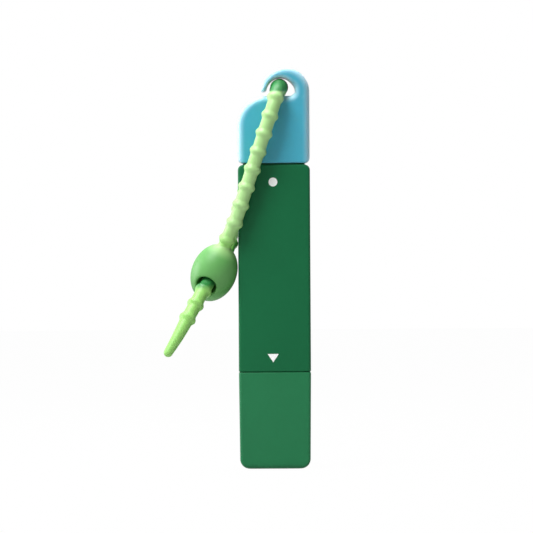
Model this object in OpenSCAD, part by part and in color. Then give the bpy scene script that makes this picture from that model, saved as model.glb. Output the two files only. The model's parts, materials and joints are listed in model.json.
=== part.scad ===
// Two-ended stain remover pen.
// A flat barrel holds a bottle of fluid. The upper end has a felt nib on a spring valve, under a
// cap with a hook. The lower end has a scrubbing brush under a second cap. A knobbed strap is
// looped through the eye of the hook and back through its own bead.
// Millimetres. +Z runs up the pen, the front faces -Y, and the origin is the centre of the foot.

/* [Body] */
// Width of the barrel and of both caps
body_w = 22; // [21:0.5:26]
// Depth of the barrel and of both caps
body_d = 13; // [12.6:0.2:15]
// Length of the barrel
barrel_h = 63.2; // [56:0.4:80]
// Wall of the barrel
barrel_wall = 1.4; // [1.2:0.1:1.6]
// Radius of the long edges
edge_r = 1.2; // [0.6:0.1:1.4]
// Radius of the corners beside the upper seam, seen from the front
seam_r = 1.6; // [0.6:0.1:2.2]

/* [Remover cap] */
// Gap between the barrel and the remover cap
cap_seam = 0.3; // [0.15:0.05:0.6]
// Wall of both caps
cap_wall = 1.4; // [1.2:0.1:1.6]
// Height of the shoulder's top above the seam
shoulder_h = 20.6; // [19.6:0.2:21]
// Radius of the shoulder
shoulder_r = 8.4; // [6:0.2:9]
// Radius of the hook's outer arc
hook_r = 7.4; // [7:0.1:8]
// Height of the hook arc's centre above the seam
hook_h = 21.8; // [21.4:0.1:22.6]
// Diameter of the eye
eye_d = 8.5; // [8.3:0.1:9.2]
// Distance of the eye's axis to the right of the pen's axis
eye_x = 2.1; // [1.7:0.1:2.6]
// Height of the eye's axis above the seam
eye_h = 22; // [21.7:0.1:22.6]
// Bevel at both mouths of the eye
eye_bevel = 1; // [0.6:0.1:1.6]
// Bevel along the front and back edges of the eye's floor
floor_bevel = 1.9; // [1.4:0.1:2.2]
// Slit between the hook's tip and the shoulder
hook_slit = 0.85; // [0.5:0.05:1.5]

/* [Brush cap] */
// Height of the brush cap
brush_cap_h = 29.4; // [27:0.2:36]
// Gap between the brush cap and the barrel
brush_seam = 0.2; // [0.1:0.05:0.5]
// Floor of the brush cap
brush_cap_floor = 1.6; // [1.2:0.1:2.4]
// Draft of each side, from the seam to the foot
brush_cap_draft = 0.25; // [0:0.05:0.4]
// Radius of the foot's corners, seen from the front
foot_r = 3; // [1:0.2:4]
// Radius of the foot's corners, seen from the side
foot_side_r = 1.2; // [0.6:0.1:2]

/* [Collar] */
// Height of the spigot that the remover cap slides on
cap_spigot_h = 5; // [4:0.2:6]
// Depth to which the collar sits in the barrel
collar_h = 9.8; // [9:0.2:12]
// Play between a spigot and its cap, on each side
cap_fit = 0.2; // [0.15:0.05:0.3]
// Height of the snap ridges on both spigots
ridge_h = 0.12; // [0.04:0.02:0.12]
// Length of the snap ridges
ridge_l = 9; // [4:0.5:12]

/* [Bottle] */
// Wall of the bottle
bottle_wall = 0.8; // [0.6:0.1:1]
// Gap between the bottle and the barrel
bottle_gap = 0.3; // [0.2:0.05:0.5]
// Thickness of the bottle's shoulder
bottle_top = 1; // [0.8:0.1:1.6]
// Outer diameter of the bottle's neck
neck_d = 8.4; // [8:0.1:8.6]
// Height of the bottle's neck
neck_h = 6.7; // [5.8:0.1:7]
// Thickness of the ring on the neck
seal_t = 0.6; // [0.4:0.1:0.8]
// Flange of the plug in the bottle's lower end
plug_flange = 1; // [0.8:0.1:1.6]
// Depth of the plug in the bottle
plug_h = 4; // [2.5:0.5:6]

/* [Valve and nib] */
// Travel of the nib when it is pressed on the cloth
nib_travel = 1.2; // [0.6:0.1:1.4]
// Diameter of the nib
nib_d = 4; // [3.2:0.1:4.2]
// Length of nib that stands out of its holder
nib_out = 3.2; // [2.4:0.2:4]
// Running clearance around the nib and in the valve's bores
fit = 0.05; // [0.02:0.01:0.08]
// Outer diameter of the valve housing
housing_d = 6.6; // [6.4:0.1:7]
// Bore of the valve housing
housing_bore = 5; // [4.8:0.1:5.2]
// Thickness of the valve housing's flange
flange_t = 1; // [0.8:0.1:1.4]
// Length of the spring chamber below the gasket
spring_room = 8.3; // [7.5:0.1:10]
// Thickness of the gasket
gasket_t = 1; // [0.6:0.1:1.2]
// Hole of the gasket and of the flange
gasket_hole = 2.2; // [2:0.1:2.6]
// Thickness of the ported disc below the spring
retainer_t = 1; // [0.8:0.1:1.4]
// Number of ports in the disc
port_count = 3; // [3:1:5]
// Diameter of the ports
port_d = 0.8; // [0.5:0.1:0.9]
// Diameter of the stem
stem_d = 1.6; // [1.2:0.1:1.6]
// Diameter of the valve head
head_d = 4.2; // [3.8:0.1:4.4]
// Thickness of the valve head
head_t = 1.2; // [0.8:0.1:1.6]
// Outside diameter of the spring
spring_d = 4; // [3.6:0.1:4.2]
// Diameter of the spring's wire
wire_d = 0.4; // [0.3:0.05:0.5]
// Number of the spring's curls
curl_count = 6; // [4:1:7]
// Wall of the cup that holds the nib
socket_wall = 0.55; // [0.4:0.05:0.7]
// Depth of the nib in its cup
socket_depth = 1.8; // [1.4:0.1:2.2]
// Floor of the cup
socket_floor = 0.8; // [0.6:0.1:1]
// Wall of the nib holder's skirt
skirt_wall = 0.9; // [0.7:0.05:1]
// Thickness of the nib holder's flange
holder_flange_t = 0.8; // [0.6:0.1:1.2]
// Diameter of the nose
nose_d = 7.4; // [6.6:0.1:7.6]
// Diameter of the nose at its tip
nose_tip_d = 5.6; // [5.2:0.1:6.4]
// Height of the straight part of the nose
nose_h = 3; // [2:0.2:3.4]
// Height of the tapered part of the nose
nose_taper_h = 2.6; // [1.6:0.2:3]

/* [Cap liner] */
// Outer diameter of the liner
liner_d = 9.4; // [9.2:0.1:9.6]
// Wall of the liner
liner_wall = 0.6; // [0.5:0.05:0.7]
// Height of the ring that seals on the nose
lip_h = 1.2; // [0.8:0.1:2]
// Clearance inside the liner
liner_fit = 0.15; // [0.1:0.05:0.3]

/* [Brush] */
// Depth to which the brush base sits in the barrel
brush_plug_h = 8; // [6:0.5:12]
// Height of the spigot that the brush cap slides on
brush_spigot_h = 6; // [5:0.2:7]
// Height of the brush head below the spigot
brush_head_h = 6.6; // [5:0.2:7.6]
// Inset of the brush head from the spigot, on each side
brush_head_inset = 0.7; // [0.4:0.1:1]
// Wall of the brush base
brush_wall = 1.1; // [0.8:0.1:1.4]
// Thickness of the tuft plate, with the slice that the tufts grow from
plate_t = 2.4; // [2:0.1:3]
// Slice of the tuft plate that the tufts grow from
slice_t = 0.6; // [0.4:0.1:0.8]
// Length of the bristles
bristle_h = 10.6; // [8:0.2:12]
// Number of tufts in a row
tuft_columns = 12; // [10:1:12]
// Number of rows of tufts
tuft_rows = 3; // [3:1:4]
// Distance between bristles in a tuft
strand_pitch = 0.34; // [0.3:0.01:0.36]
// Radius of a bristle
strand_r = 0.12; // [0.08:0.01:0.13]

/* [Strap] */
// Diameter of the strap between its knobs
strap_d = 4; // [3.4:0.1:4.2]
// Diameter of the knobs
knob_d = 5; // [4.4:0.1:5.1]
// Distance between knobs
knob_pitch = 5.8; // [5:0.1:7]
// Length of a knob
knob_l = 2.7; // [2:0.1:3.6]
// Number of knobs
knob_count = 26; // [20:1:26]
// Diameter of the strap's tip
tip_d = 2.2; // [1.6:0.1:3]
// Length of the bead
bead_l = 18.4; // [16:0.2:20]
// Diameter of the bead
bead_d = 13.5; // [12:0.1:13.6]
// Diameter of the bead's hole
bead_hole_d = 6.1; // [5.8:0.1:6.6]

/* [Hidden] */
$fn = 48;

green = "#1f6a42";
cap_green = "#2f7a50";
blue = "#58aecb";
white_plastic = "#e9ece8";
clear_plastic = "#cfe0dc";
soft_grey = "#7d8684";
steel = "#b9bdc0";
felt = "#f2efe4";
strap_green = "#9bd887";
bead_green = "#57b060";
bristle_white = "#f4f5f0";

// A cut runs this far past the face that it opens
past = 1;
// The bevels at the eye's mouths meet this far above its floor
bevel_lift = 0.3;
// Two pressed pieces of one body leave this gap on each side
press = 0.05;

// Plan sizes, each from the wall around it
bore_w = body_w - 2 * barrel_wall;
bore_d = body_d - 2 * barrel_wall;
bore_r = max(edge_r - barrel_wall, 0.4);
cap_bore_w = body_w - 2 * cap_wall;
cap_bore_d = body_d - 2 * cap_wall;
cap_bore_r = max(edge_r - cap_wall, 0.4);
spigot_w = cap_bore_w - 2 * cap_fit;
spigot_d = cap_bore_d - 2 * cap_fit;
bottle_w = bore_w - 2 * bottle_gap;
bottle_d = bore_d - 2 * bottle_gap;
head_w = spigot_w - 2 * brush_head_inset;
head_depth = spigot_d - 2 * brush_head_inset;
plate_w = head_w - 2 * brush_wall;
plate_d = head_depth - 2 * brush_wall;

// Levels from the foot up to the bottle
barrel_z = brush_cap_h + brush_seam;
brush_spigot_z = barrel_z - brush_spigot_h;
brush_head_z = brush_spigot_z - brush_head_h;
plug_z = barrel_z + brush_plug_h;
bottle_z = plug_z + plug_flange;
barrel_top = barrel_z + barrel_h;

// Levels of the valve and the nib
collar_z = barrel_top - collar_h;
neck_top = collar_z + neck_h;
flange_z = neck_top + seal_t;
flange_top = flange_z + flange_t;
gasket_z = flange_z - gasket_t;
retainer_top = gasket_z - spring_room;
retainer_z = retainer_top - retainer_t;
head_top = gasket_z - fit;
head_z = head_top - head_t;
socket_z = flange_top + nib_travel + 0.3;
nib_z = socket_z + socket_floor;
socket_top = nib_z + socket_depth;
chamber_top = socket_top + 0.3;
spigot_top = barrel_top + cap_spigot_h;
holder_flange_top = spigot_top + holder_flange_t;
nose_shoulder = holder_flange_top + nose_h;
nose_top = nose_shoulder + nose_taper_h;
nib_top = nose_top + nib_out;
stem_tail = retainer_z - 0.5;

// Sizes of the valve and the nib that follow from their neighbours
collar_bore = neck_d + 0.2;
skirt_d = collar_bore - 0.8;
chamber_d = skirt_d - 2 * skirt_wall;
socket_d = nib_d + 2 * fit + 2 * socket_wall;
holder_flange_d = spigot_d - 0.4;
stem_guide = stem_d + 0.4;
port_circle = (housing_bore + stem_guide) / 4;

// Levels and places of the remover cap
cap_z = barrel_top + cap_seam;
hook_z = cap_z + hook_h;
hook_x = body_w / 2 - hook_r;
eye_z = cap_z + eye_h;
shoulder_top = cap_z + shoulder_h;
skirt_top = holder_flange_top + 0.4;
liner_roof = nib_top + 0.4;
liner_top = liner_roof + 0.8;
// The hook's tip is a half circle across the arm, cut off at this level
tip_cut = shoulder_top + hook_slit + (eye_x - hook_x + hook_r - eye_d / 2) / 2;
tip_inner = eye_x - sqrt(pow(eye_d / 2, 2) - pow(tip_cut - eye_z, 2));
tip_outer = hook_x - sqrt(pow(hook_r, 2) - pow(tip_cut - hook_z, 2));

// Route of the strap's centreline. It leaves the bead's top, climbs in front of the pen, goes
// back through the eye, comes down behind the pen, runs forward through the bead and hangs free.
STRAP_ROUTE = [
    [-15.3, -6.2, 67.5], [-13.7, -7.5, 71.4], [-11.7, -8.9, 75.8], [-9.6, -9.4, 82],
    [-5.3, -9.8, 95], [-1.3, -10.3, 107], [0.1, -9.8, 111.2], [1, -8.1, 114.6],
    [1.7, -4.5, 116.3], [1.9, 0, 116.5], [1.7, 4.5, 116.3], [1, 8.1, 114.6],
    [0.1, 9.8, 111.2], [-1.3, 10.3, 107], [-5.3, 9.8, 95], [-9.6, 9.4, 82],
    [-11.8, 9.3, 75.8], [-13.1, 8, 71.3], [-14.3, 4, 66.9], [-15, 2.5, 65.6],
    [-21.8, -9.7, 54.2], [-22.6, -11, 52.9], [-24.3, -12.9, 49.7], [-26.4, -15.5, 46],
    [-29.5, -18.1, 40.3], [-32.9, -19.7, 34.7]
];
// The two points of the route between which the strap lies in the bead's hole
HOLE_START = 19;
HOLE_END = 20;
// Distance from the bead's top to the first knob
first_knob = 3.4;
// The bead's top is cut flat here, as a share of its half length
bead_cut = 0.935;

function unit(v) = v / norm(v);

// Direction of a route at one of its points, with the nearer neighbour counting for more
function heading(p, i) =
    i == 0 ? unit(p[1] - p[0]) :
    i == len(p) - 1 ? unit(p[i] - p[i - 1]) :
    let (a = norm(p[i] - p[i - 1]), b = norm(p[i + 1] - p[i]))
    unit((p[i] - p[i - 1]) * b / a + (p[i + 1] - p[i]) * a / b);

// A smooth curve through the points of a route, in short straight steps
function smooth(p, steps) = [
    for (i = [0 : len(p) - 2], k = [0 : steps - 1])
        let (t = k / steps, d = norm(p[i + 1] - p[i]))
        p[i] * (2 * t * t * t - 3 * t * t + 1) + p[i + 1] * (3 * t * t - 2 * t * t * t)
            + heading(p, i) * d * (t * t * t - 2 * t * t + t)
            + heading(p, i + 1) * d * (t * t * t - t * t),
    p[len(p) - 1]
];

// Distance along a line of points to each of them, paired with its index
function mileage(p) = [
    for (i = 0, s = 0; i < len(p); s = s + (i + 1 < len(p) ? norm(p[i + 1] - p[i]) : 0), i = i + 1)
        [s, i]
];

// Point at a distance along a line of points
function along(p, miles, s) =
    let (f = lookup(s, miles), i = min(floor(f), len(p) - 2))
    p[i] + (p[i + 1] - p[i]) * (f - i);

// Ring of points around a place, square to a direction
function ring(place, dir, side, r, sides) =
    let (u = unit(cross(dir, side)), v = cross(dir, u))
    [for (k = [0 : sides - 1]) place + r * (cos(360 * k / sides) * u + sin(360 * k / sides) * v)];

// Closed tube through a list of rings, with triangles only
module tube(rings) {
    n = len(rings[0]);
    last = (len(rings) - 1) * n;
    polyhedron(
        points = [for (r = rings) each r],
        faces = [
            for (k = [1 : n - 2]) [0, k, k + 1],
            for (k = [1 : n - 2]) [last, last + k + 1, last + k],
            for (i = [0 : len(rings) - 2], k = [0 : n - 1])
                each [
                    [i * n + k, (i + 1) * n + k, (i + 1) * n + (k + 1) % n],
                    [i * n + k, (i + 1) * n + (k + 1) % n, i * n + (k + 1) % n]
                ]
        ]);
}

// What a round corner takes off a square one. The corner is at the origin and the material lies
// towards -x and -y. The arc is a little flatter than a quarter circle, so that it meets both
// sides at a real edge.
module corner_cut(r) {
    arc_r = 1.12 * r;
    c = r / 2 + sqrt((arc_r * arc_r - r * r / 2) / 2);
    translate([-c, -c])
        difference() {
            square(c + past);
            circle(arc_r);
        }
}

// The four corner cuts of a rectangle around the origin
module corner_cuts(w, d, r) {
    ways = [[1, 1], [-1, 1], [-1, -1], [1, -1]];
    for (k = [0 : 3])
        translate([ways[k].x * w / 2, ways[k].y * d / 2]) rotate(90 * k) corner_cut(r);
}

// Rectangle with round corners
module plan(w, d, r) {
    difference() {
        square([w, d], center = true);
        corner_cuts(w, d, r);
    }
}

// Block with a round-cornered plan, from one level to another
module block(w, d, r, low, high) {
    translate([0, 0, low]) linear_extrude(high - low) plan(w, d, r);
}

// Stands an outline up, facing the front, through a depth
module upright(depth) {
    translate([0, depth / 2, 0]) rotate([90, 0, 0]) linear_extrude(depth) children();
}

// Ridges on the front and the back of a spigot, for its cap to snap over
module snap_ridges(z) {
    ridge_r = 0.6;
    for (s = [-1, 1])
        translate([-ridge_l / 2, s * (spigot_d / 2 + ridge_h - ridge_r), z])
            rotate([0, 90, 0]) cylinder(h = ridge_l, r = ridge_r);
}

module barrel() {
    color(green)
        difference() {
            block(body_w, body_d, edge_r, barrel_z, barrel_top);
            upright(body_d + 2 * past) {
                translate([body_w / 2, barrel_top]) corner_cut(seam_r);
                translate([-body_w / 2, barrel_top]) rotate(90) corner_cut(seam_r);
            }
            block(bore_w, bore_d, bore_r, barrel_z - past, barrel_top + past);
        }
}

module top_collar() {
    color(green)
        difference() {
            union() {
                block(bore_w - 2 * press, bore_d - 2 * press, bore_r, collar_z, barrel_top);
                block(spigot_w, spigot_d, cap_bore_r, barrel_top, spigot_top);
                snap_ridges(barrel_top + cap_spigot_h / 2);
            }
            translate([0, 0, collar_z - past])
                cylinder(h = flange_top - collar_z + past, d = collar_bore);
            translate([0, 0, collar_z])
                cylinder(h = spigot_top - collar_z + past, d = skirt_d + 2 * press);
            for (s = [-1, 1]) collar_pocket(s);
        }
}

// Hollow in the collar beside its bore, open downwards
module collar_pocket(s) {
    rib = 1.1;
    inner = collar_bore / 2 + rib;
    outer = spigot_w / 2 - rib;
    translate([s * (inner + outer) / 2, 0, collar_z + (collar_h + cap_spigot_h - rib - past) / 2])
        cube([outer - inner, spigot_d - 2 * rib, collar_h + cap_spigot_h - rib + past],
            center = true);
}

module reservoir() {
    color(clear_plastic)
        difference() {
            union() {
                block(bottle_w, bottle_d, edge_r, bottle_z, collar_z);
                translate([0, 0, collar_z]) cylinder(h = neck_h, d = neck_d);
            }
            block(bottle_w - 2 * bottle_wall, bottle_d - 2 * bottle_wall, 0.4, bottle_z - past,
                collar_z - bottle_top);
            translate([0, 0, collar_z - bottle_top - past])
                cylinder(h = bottle_top + neck_h + 2 * past, d = housing_d + 2 * fit);
        }
}

module reservoir_plug() {
    inside_w = bottle_w - 2 * bottle_wall - 2 * press;
    inside_d = bottle_d - 2 * bottle_wall - 2 * press;
    color(white_plastic)
        difference() {
            union() {
                block(bottle_w, bottle_d, edge_r, plug_z, bottle_z);
                block(inside_w, inside_d, 0.35, bottle_z, bottle_z + plug_h);
            }
            block(inside_w - 2 * brush_wall, inside_d - 2 * brush_wall, 0.3, bottle_z,
                bottle_z + plug_h + past);
        }
}

module neck_seal() {
    color(soft_grey)
        translate([0, 0, neck_top])
            difference() {
                cylinder(h = seal_t, d = neck_d);
                translate([0, 0, -past]) cylinder(h = seal_t + 2 * past, d = housing_d + 2 * fit);
            }
}

module valve_housing() {
    color(white_plastic)
        difference() {
            union() {
                translate([0, 0, retainer_z]) cylinder(h = flange_z - retainer_z, d = housing_d);
                translate([0, 0, flange_z]) cylinder(h = flange_t, d = neck_d);
            }
            translate([0, 0, retainer_z - past])
                cylinder(h = flange_z - retainer_z + past, d = housing_bore);
            translate([0, 0, flange_z - past]) cylinder(h = flange_t + 2 * past, d = gasket_hole);
        }
}

module valve_gasket() {
    color(soft_grey)
        translate([0, 0, gasket_z])
            difference() {
                cylinder(h = gasket_t, d = housing_bore - 2 * press);
                translate([0, 0, -past]) cylinder(h = gasket_t + 2 * past, d = gasket_hole);
            }
}

module valve_retainer() {
    color(white_plastic)
        translate([0, 0, retainer_z])
            difference() {
                cylinder(h = retainer_t, d = housing_bore - 2 * press);
                translate([0, 0, -past]) cylinder(h = retainer_t + 2 * past, d = stem_guide);
                for (k = [0 : port_count - 1])
                    rotate(360 * k / port_count) translate([port_circle, 0, -past])
                        cylinder(h = retainer_t + 2 * past, d = port_d);
            }
}

module valve_spring() {
    sides = 6;
    rings_a_curl = 8;
    gap = 0.02;
    low = retainer_top + wire_d / 2 + gap;
    high = head_z - wire_d / 2 - gap;
    coil_r = (spring_d - wire_d) / 2;
    rings = curl_count * rings_a_curl;
    rise = (high - low) / rings;
    turn = 360 / rings_a_curl;
    echo("least gap between the spring's curls", rise * rings_a_curl - wire_d);
    color(steel)
        tube([for (i = [0 : rings])
            ring([coil_r * cos(turn * i), coil_r * sin(turn * i), low + rise * i],
                unit([-sin(turn * i) * coil_r, cos(turn * i) * coil_r, rise * 180 / turn / PI]),
                [0, 0, 1], wire_d / 2, sides)]);
}

module valve_stem() {
    color(white_plastic) {
        translate([0, 0, stem_tail]) cylinder(h = nib_z - stem_tail, d = stem_d);
        translate([0, 0, head_z]) cylinder(h = head_t, d = head_d);
    }
}

module nib_socket() {
    color(white_plastic)
        difference() {
            translate([0, 0, socket_z]) cylinder(h = socket_top - socket_z, d = socket_d);
            translate([0, 0, nib_z]) cylinder(h = socket_depth + past, d = nib_d + 2 * fit);
            translate([0, 0, socket_z - past])
                cylinder(h = socket_floor + 2 * past, d = stem_d + 2 * fit);
        }
}

module nib() {
    steps = 6;
    r = nib_d / 2;
    color(felt)
        rotate_extrude()
            polygon([
                [0, nib_z], [r, nib_z],
                for (k = [0 : steps - 1])
                    [r * cos(90 * k / steps), nib_top - r + r * sin(90 * k / steps)],
                [0, nib_top]
            ]);
}

module nib_holder() {
    bore = nib_d / 2 + fit;
    color(white_plastic)
        rotate_extrude()
            polygon([
                [chamber_d / 2, flange_top], [skirt_d / 2, flange_top], [skirt_d / 2, spigot_top],
                [holder_flange_d / 2, spigot_top], [holder_flange_d / 2, holder_flange_top],
                [nose_d / 2, holder_flange_top], [nose_d / 2, nose_shoulder],
                [nose_tip_d / 2, nose_top], [bore, nose_top], [bore, chamber_top],
                [chamber_d / 2, chamber_top]
            ]);
}

// Front outline of the remover cap: body, shoulder, hook, eye and slit. The eye's floor is flush
// with the shoulder's top.
module hook_outline() {
    tip_r = (tip_inner - tip_outer) / 2 * 0.98;
    difference() {
        translate([-body_w / 2, cap_z]) square([body_w, shoulder_top - cap_z]);
        translate([-body_w / 2, shoulder_top]) rotate(90) corner_cut(shoulder_r);
        translate([-body_w / 2, cap_z]) rotate(180) corner_cut(seam_r);
        translate([body_w / 2, cap_z]) rotate(270) corner_cut(seam_r);
    }
    difference() {
        union() {
            translate([hook_x, shoulder_top - past])
                square([hook_r, hook_z - shoulder_top + past]);
            translate([hook_x, hook_z]) circle(hook_r);
        }
        translate([eye_x, eye_z]) circle(d = eye_d);
        translate([-body_w, 0]) square([body_w + eye_x, tip_cut]);
    }
    translate([(tip_inner + tip_outer) / 2, tip_cut]) circle(tip_r);
}

module remover_cap() {
    color(blue)
        difference() {
            upright(body_d) hook_outline();
            translate([0, 0, cap_z - past]) linear_extrude(hook_z + hook_r - cap_z + 2 * past)
                corner_cuts(body_w, body_d, edge_r);
            block(cap_bore_w, cap_bore_d, cap_bore_r, cap_z - past, skirt_top);
            translate([0, 0, cap_z])
                cylinder(h = liner_top - cap_z, d = liner_d + 2 * press);
            for (s = [-1, 1]) eye_mouth(s);
        }
}

// Bevels at the front or the back mouth of the eye: around its arch, and along its floor
module eye_mouth(s) {
    intersection() {
        translate([eye_x, s * (body_d / 2 - eye_bevel), eye_z]) rotate([-90 * s, 0, 0])
            cylinder(h = eye_bevel + past, r1 = eye_d / 2, r2 = eye_d / 2 + eye_bevel + past);
        translate([-body_w, -body_d, shoulder_top + bevel_lift])
            cube([2 * body_w, 2 * body_d, body_w]);
    }
    scale([1, -s, 1]) translate([-body_w, 0, shoulder_top]) rotate([90, 0, 90])
        linear_extrude(body_w + eye_x + eye_d / 2 - bevel_lift)
            polygon([
                [-body_d / 2 + floor_bevel + bevel_lift, bevel_lift],
                [-body_d / 2 - past, bevel_lift], [-body_d / 2 - past, -floor_bevel - past]
            ]);
}

module cap_liner() {
    low = skirt_top + 0.1;
    room = liner_d / 2 - liner_wall;
    lip = nose_d / 2 + liner_fit;
    color(white_plastic)
        rotate_extrude()
            polygon([
                [lip, low], [liner_d / 2, low], [liner_d / 2, liner_top], [0, liner_top],
                [0, liner_roof], [room, liner_roof], [room, low + lip_h], [lip, low + lip_h]
            ]);
}

// The bead: an egg around the strap's first heading, cut flat where the strap leaves it
module strap_bead() {
    steps = 12;
    start = STRAP_ROUTE[0];
    dir = heading(STRAP_ROUTE, 0);
    half = bead_l / 2;
    centre = start - dir * half * bead_cut;
    hole_from = STRAP_ROUTE[HOLE_START];
    hole_to = STRAP_ROUTE[HOLE_END];
    hole_dir = unit(hole_to - hole_from);
    top = acos(bead_cut);
    color(bead_green)
        difference() {
            translate(centre) rotate([0, acos(dir.z), atan2(dir.y, dir.x)])
                rotate_extrude()
                    polygon([
                        [0, -half],
                        for (k = [1 : steps])
                            let (a = 180 - (180 - top) * k / steps)
                            [bead_d / 2 * sin(a), half * cos(a)],
                        [0, half * bead_cut]
                    ]);
            translate(hole_from) rotate([0, acos(hole_dir.z), atan2(hole_dir.y, hole_dir.x)])
                cylinder(h = norm(hole_to - hole_from), d = bead_hole_d);
        }
}

// The strap: a ribbed tube with flat-topped knobs and a tapered tail
module strap_cord() {
    sides = 8;
    line = smooth(STRAP_ROUTE, 8);
    miles = mileage(line);
    end = miles[len(miles) - 1][0];
    across = cross([0, 1, 0], unit([eye_x, 0, eye_z] - [STRAP_ROUTE[0].x, 0, STRAP_ROUTE[0].z]));
    last_knob = first_knob + (knob_count - 1) * knob_pitch;
    flat = knob_l / 5;
    rings = [
        [0, strap_d / 2],
        for (k = [0 : knob_count - 1])
            let (s = first_knob + k * knob_pitch)
            each [[s - knob_l / 2, strap_d / 2], [s - flat / 2, knob_d / 2],
                [s + flat / 2, knob_d / 2], [s + knob_l / 2, strap_d / 2]],
        for (k = [1 : 3])
            let (t = k / 4)
            [last_knob + knob_l / 2 + (end - last_knob - knob_l / 2) * t,
                strap_d / 2 * (1 - t) + tip_d / 2 * t],
        [end, tip_d / 2]
    ];
    echo("length of the strap from the bead's top to its tip", end);
    color(strap_green)
        tube([for (q = rings)
            let (a = max(q[0] - 0.3, 0), b = min(q[0] + 0.3, end))
            ring(along(line, miles, q[0]),
                unit(along(line, miles, b) - along(line, miles, a)), across, q[1], sides)]);
}

module brush_base() {
    color(green)
        difference() {
            union() {
                block(bore_w - 2 * press, bore_d - 2 * press, bore_r, barrel_z, plug_z);
                block(spigot_w, spigot_d, cap_bore_r, brush_spigot_z, barrel_z);
                block(head_w, head_depth, 1, brush_head_z, brush_spigot_z);
                snap_ridges(barrel_z - brush_spigot_h / 2);
            }
            block(plate_w, plate_d, 0.5, brush_head_z - past, brush_head_z + plate_t);
            block(plate_w, plate_d, 0.5, brush_head_z + plate_t + brush_wall, plug_z + past);
        }
}

module brush_plate() {
    color(white_plastic)
        block(plate_w - 2 * press, plate_d - 2 * press, 0.45, brush_head_z + slice_t,
            brush_head_z + plate_t);
}

// The tufts and the slice of plate that they grow from, as one closed skin. The slice's lower
// face is a grid of cells, three by three in a tuft, and each cell has one three-sided bristle.
module bristles() {
    nx = 3 * tuft_columns;
    ny = 3 * tuft_rows;
    tuft_x = (plate_w - 0.6) / tuft_columns;
    tuft_y = (plate_d - 0.4) / tuft_rows;
    base = brush_head_z;
    spread = 1.25;
    function cut(i, size, count) = (i - 3 * count / 2) * size / 3;
    function tuft(i, size, count) = (floor(i / 3) - (count - 1) / 2) * size;
    function root(i, j) = [tuft(i, tuft_x, tuft_columns) + (i % 3 - 1) * strand_pitch,
        tuft(j, tuft_y, tuft_rows) + (j % 3 - 1) * strand_pitch];
    function tip(i, j) = [tuft(i, tuft_x, tuft_columns) + (i % 3 - 1) * strand_pitch * spread,
        tuft(j, tuft_y, tuft_rows) + (j % 3 - 1) * strand_pitch * spread];
    function trim(i, j) = bristle_h - 0.4 * abs(sin(137 * i + 71 * j));
    function corner(i, j) = i * (ny + 1) + j;
    function strand(i, j) = (nx + 1) * (ny + 1) + (i * ny + j) * 6;
    slab = (nx + 1) * (ny + 1) + nx * ny * 6;
    echo("bristles", nx * ny);
    color(bristle_white)
        polyhedron(
            points = [
                for (i = [0 : nx], j = [0 : ny])
                    [cut(i, tuft_x, tuft_columns), cut(j, tuft_y, tuft_rows), base],
                for (i = [0 : nx - 1], j = [0 : ny - 1])
                    each [
                        for (k = [0 : 2]) let (a = 210 + 120 * k, c = root(i, j))
                            [c.x + strand_r * cos(a), c.y + strand_r * sin(a), base],
                        for (k = [0 : 2]) let (a = 210 + 120 * k, c = tip(i, j))
                            [c.x + strand_r * cos(a), c.y + strand_r * sin(a),
                                base - trim(i, j)]
                    ],
                for (sx = [0, nx], sy = [0, ny])
                    [cut(sx, tuft_x, tuft_columns), cut(sy, tuft_y, tuft_rows), base + slice_t]
            ],
            faces = [
                for (i = [0 : nx - 1], j = [0 : ny - 1])
                    let (a = corner(i, j), b = corner(i + 1, j), c = corner(i + 1, j + 1),
                        d = corner(i, j + 1), p = strand(i, j), q = p + 1, r = p + 2)
                    each [
                        [a, b, p], [p, b, q], [b, c, q], [q, c, r], [c, d, r], [r, d, p],
                        [d, a, p],
                        for (k = [0 : 2]) each [
                            [p + k, p + (k + 1) % 3, p + 3 + (k + 1) % 3],
                            [p + k, p + 3 + (k + 1) % 3, p + 3 + k]
                        ],
                        [p + 3, p + 4, p + 5]
                    ],
                [slab, slab + 1, slab + 3], [slab, slab + 3, slab + 2],
                [slab, slab + 2, for (i = [nx : -1 : 0]) corner(i, 0)],
                [slab + 3, slab + 1, for (i = [0 : nx]) corner(i, ny)],
                [slab + 1, slab, for (j = [0 : ny]) corner(0, j)],
                [slab + 2, slab + 3, for (j = [ny : -1 : 0]) corner(nx, j)]
            ]);
}

// What draft and a round foot corner take off the right side of a box of this width. The draft
// starts at the height of the land.
module foot_cuts(w, depth, land, draft, r) {
    slope = draft / land;
    foot = w / 2 - draft;
    upright(depth + 2 * past)
        polygon([
            [foot - slope * past, -past], [w / 2 + past, -past], [w / 2 + past, land + past],
            [w / 2 + slope * past, land + past]
        ]);
    upright(depth + 2 * past) translate([foot + slope * r, 0]) rotate(270) corner_cut(r);
}

module brush_cap() {
    land = brush_cap_h - 1;
    color(cap_green)
        difference() {
            block(body_w, body_d, edge_r, 0, brush_cap_h);
            for (side = [0, 1])
                mirror([side, 0, 0])
                    foot_cuts(body_w, body_d, land, brush_cap_draft, foot_r);
            for (side = [0, 1])
                rotate(90 + 180 * side)
                    foot_cuts(body_d, body_w, land, brush_cap_draft / 2, foot_side_r);
            block(cap_bore_w, cap_bore_d, cap_bore_r, brush_cap_floor, brush_cap_h + past);
        }
}

barrel();
top_collar();
reservoir();
reservoir_plug();
neck_seal();
valve_housing();
valve_gasket();
valve_retainer();
valve_spring();
valve_stem();
nib_socket();
nib();
nib_holder();
remover_cap();
cap_liner();
strap_bead();
strap_cord();
brush_base();
brush_plate();
bristles();
brush_cap();
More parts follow.
